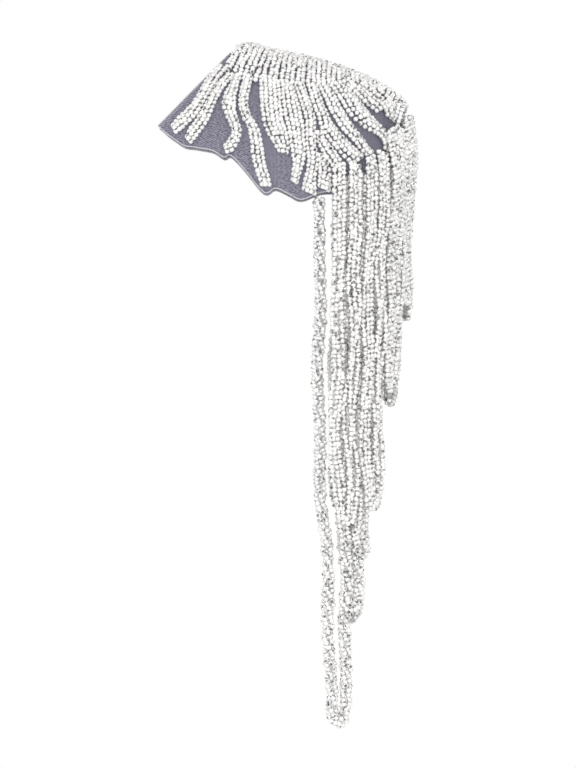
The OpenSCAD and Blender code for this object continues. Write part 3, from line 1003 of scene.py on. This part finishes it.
def hem_line():
    """Points along the sheet's edge."""
    front, back = body[:, -1], body[:, 0]
    neck = body[0, 1:-1]
    end = points[-1]
    line = np.vstack([end, back[::-1], neck, front, end])
    return line[np.concatenate([[True], np.linalg.norm(np.diff(line, axis=0), axis=1) > HEM_STEP])]


def hem_cotton():
    r = recipe_for("hem_roll")
    stitches = r.add("ShaderNodeTexNoise", {}, {"Scale": 700.0, "Detail": 2.0})
    colour = r.blend(r.ramp(stitches, 0.35, 0.65), (0.34, 0.33, 0.39, 1), (0.66, 0.65, 0.68, 1))
    bump = r.add("ShaderNodeBump", {}, {"Strength": 0.5, "Distance": 0.0004, "Height": stitches})
    return r.finish(Base_Color=colour, Roughness=0.75, Normal=bump)


hem = make_piece("net_hem", *tube(hem_line(), HEM_D, HEM_SIDES, HEM_HELPER), hem_cotton(), "net")
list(fringe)

# %% [markdown]
# Glass shows its surroundings, so the light decides how beads look. In plain white surroundings they
# would turn flat and grey. A few soft lamps in a dimmer room give each bead small bright windows on a
# darker body. One of them stands in the camera's own line, unseen, so that its light falls straight in
# between the strands.

# %% Lamps
AIM_UP = 0.08  # the lamps aim this far above the middle of the piece, in metres
LAMPS = [  # name, place in metres, width in metres, watts
    ["key", (-1.3, -2.0, 1.1), 0.9, 8],
    ["fill", (1.9, -1.7, -0.1), 0.9, 4],
    ["front", (-0.1, -1.9, -0.1), 0.5, 20],
    ["top", (0.1, 0.1, 1.7), 1.2, 6],
    ["back_left", (-1.6, 1.8, 0.4), 0.8, 11],
    ["back_right", (1.5, 1.7, 0.5), 0.8, 11],
]
target = Vector((centre_x, 0, centre_z + AIM_UP))


def lamp(name, place, width, watts):
    """A square lamp that faces the target and isn't seen itself."""
    data = bpy.data.lights.new(name, "AREA")
    data.shape, data.size, data.energy = "SQUARE", width, watts
    thing = add_thing(name, data)
    thing.location = place
    thing.visible_camera = False
    thing.rotation_euler = (Vector(place) - target).to_track_quat("Z", "Y").to_euler()


for row in LAMPS:
    lamp(*row)
print("lamps:", len(LAMPS))

# %% [markdown]
# The room is a plain pale studio. Its light is a little dimmer than white, and it turns white only
# where the camera looks straight at it. Walls could be built, but a world needs no corners hidden.
# The floor is pale too and lies as far below as a floor lies below a shoulder.

# %% Room and floor
ROOM_GREY, WHITE = (0.67, 0.67, 0.675, 1), (1, 1, 1, 1)
FLOOR_Z = -1400.0
FLOOR_R, FLOOR_SIDES = 4000.0, 64

world = bpy.data.worlds.new("room")
bpy.context.scene.world = world
room = Recipe(world, "Background")
sight = room.add("ShaderNodeLightPath", output="Is Camera Ray")
room.finish(Color=room.blend(sight, ROOM_GREY, WHITE))

floor_mesh = bpy.data.meshes.new("floor")
turns = np.linspace(0, 2 * math.pi, FLOOR_SIDES, endpoint=False)
ring = [(FLOOR_R * MM * math.cos(t), FLOOR_R * MM * math.sin(t), FLOOR_Z * MM) for t in turns]
floor_mesh.from_pydata(ring, [], [list(range(FLOOR_SIDES))])
floor = add_thing("floor", floor_mesh)
floor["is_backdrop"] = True
pale = recipe_for("floor_paint")
mottle = pale.add("ShaderNodeTexNoise", {}, {"Scale": 6.0, "Detail": 3.0})
paint = pale.blend(mottle, (0.80, 0.80, 0.79, 1), (0.84, 0.84, 0.83, 1))
floor_mesh.materials.append(pale.finish(Base_Color=paint, Roughness=0.9))
bpy.context.scene.view_settings.view_transform = "Standard"
print(f"floor {-FLOOR_Z * MM:.1f} m below the shoulder")

# %% [markdown]
# Last, the box of the solids is set beside the box of the dressed piece. Beads stand out a little from
# their solids, so a difference of a few millimetres is right, and more would mean a slip.

# %% Sizes and finish
visual_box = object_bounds()
for word, (corner_low, corner_high) in (("solids", cad_box), ("dressed", visual_box)):
    print(word, [round(v / MM, 1) for v in corner_low], [round(v / MM, 1) for v in corner_high])
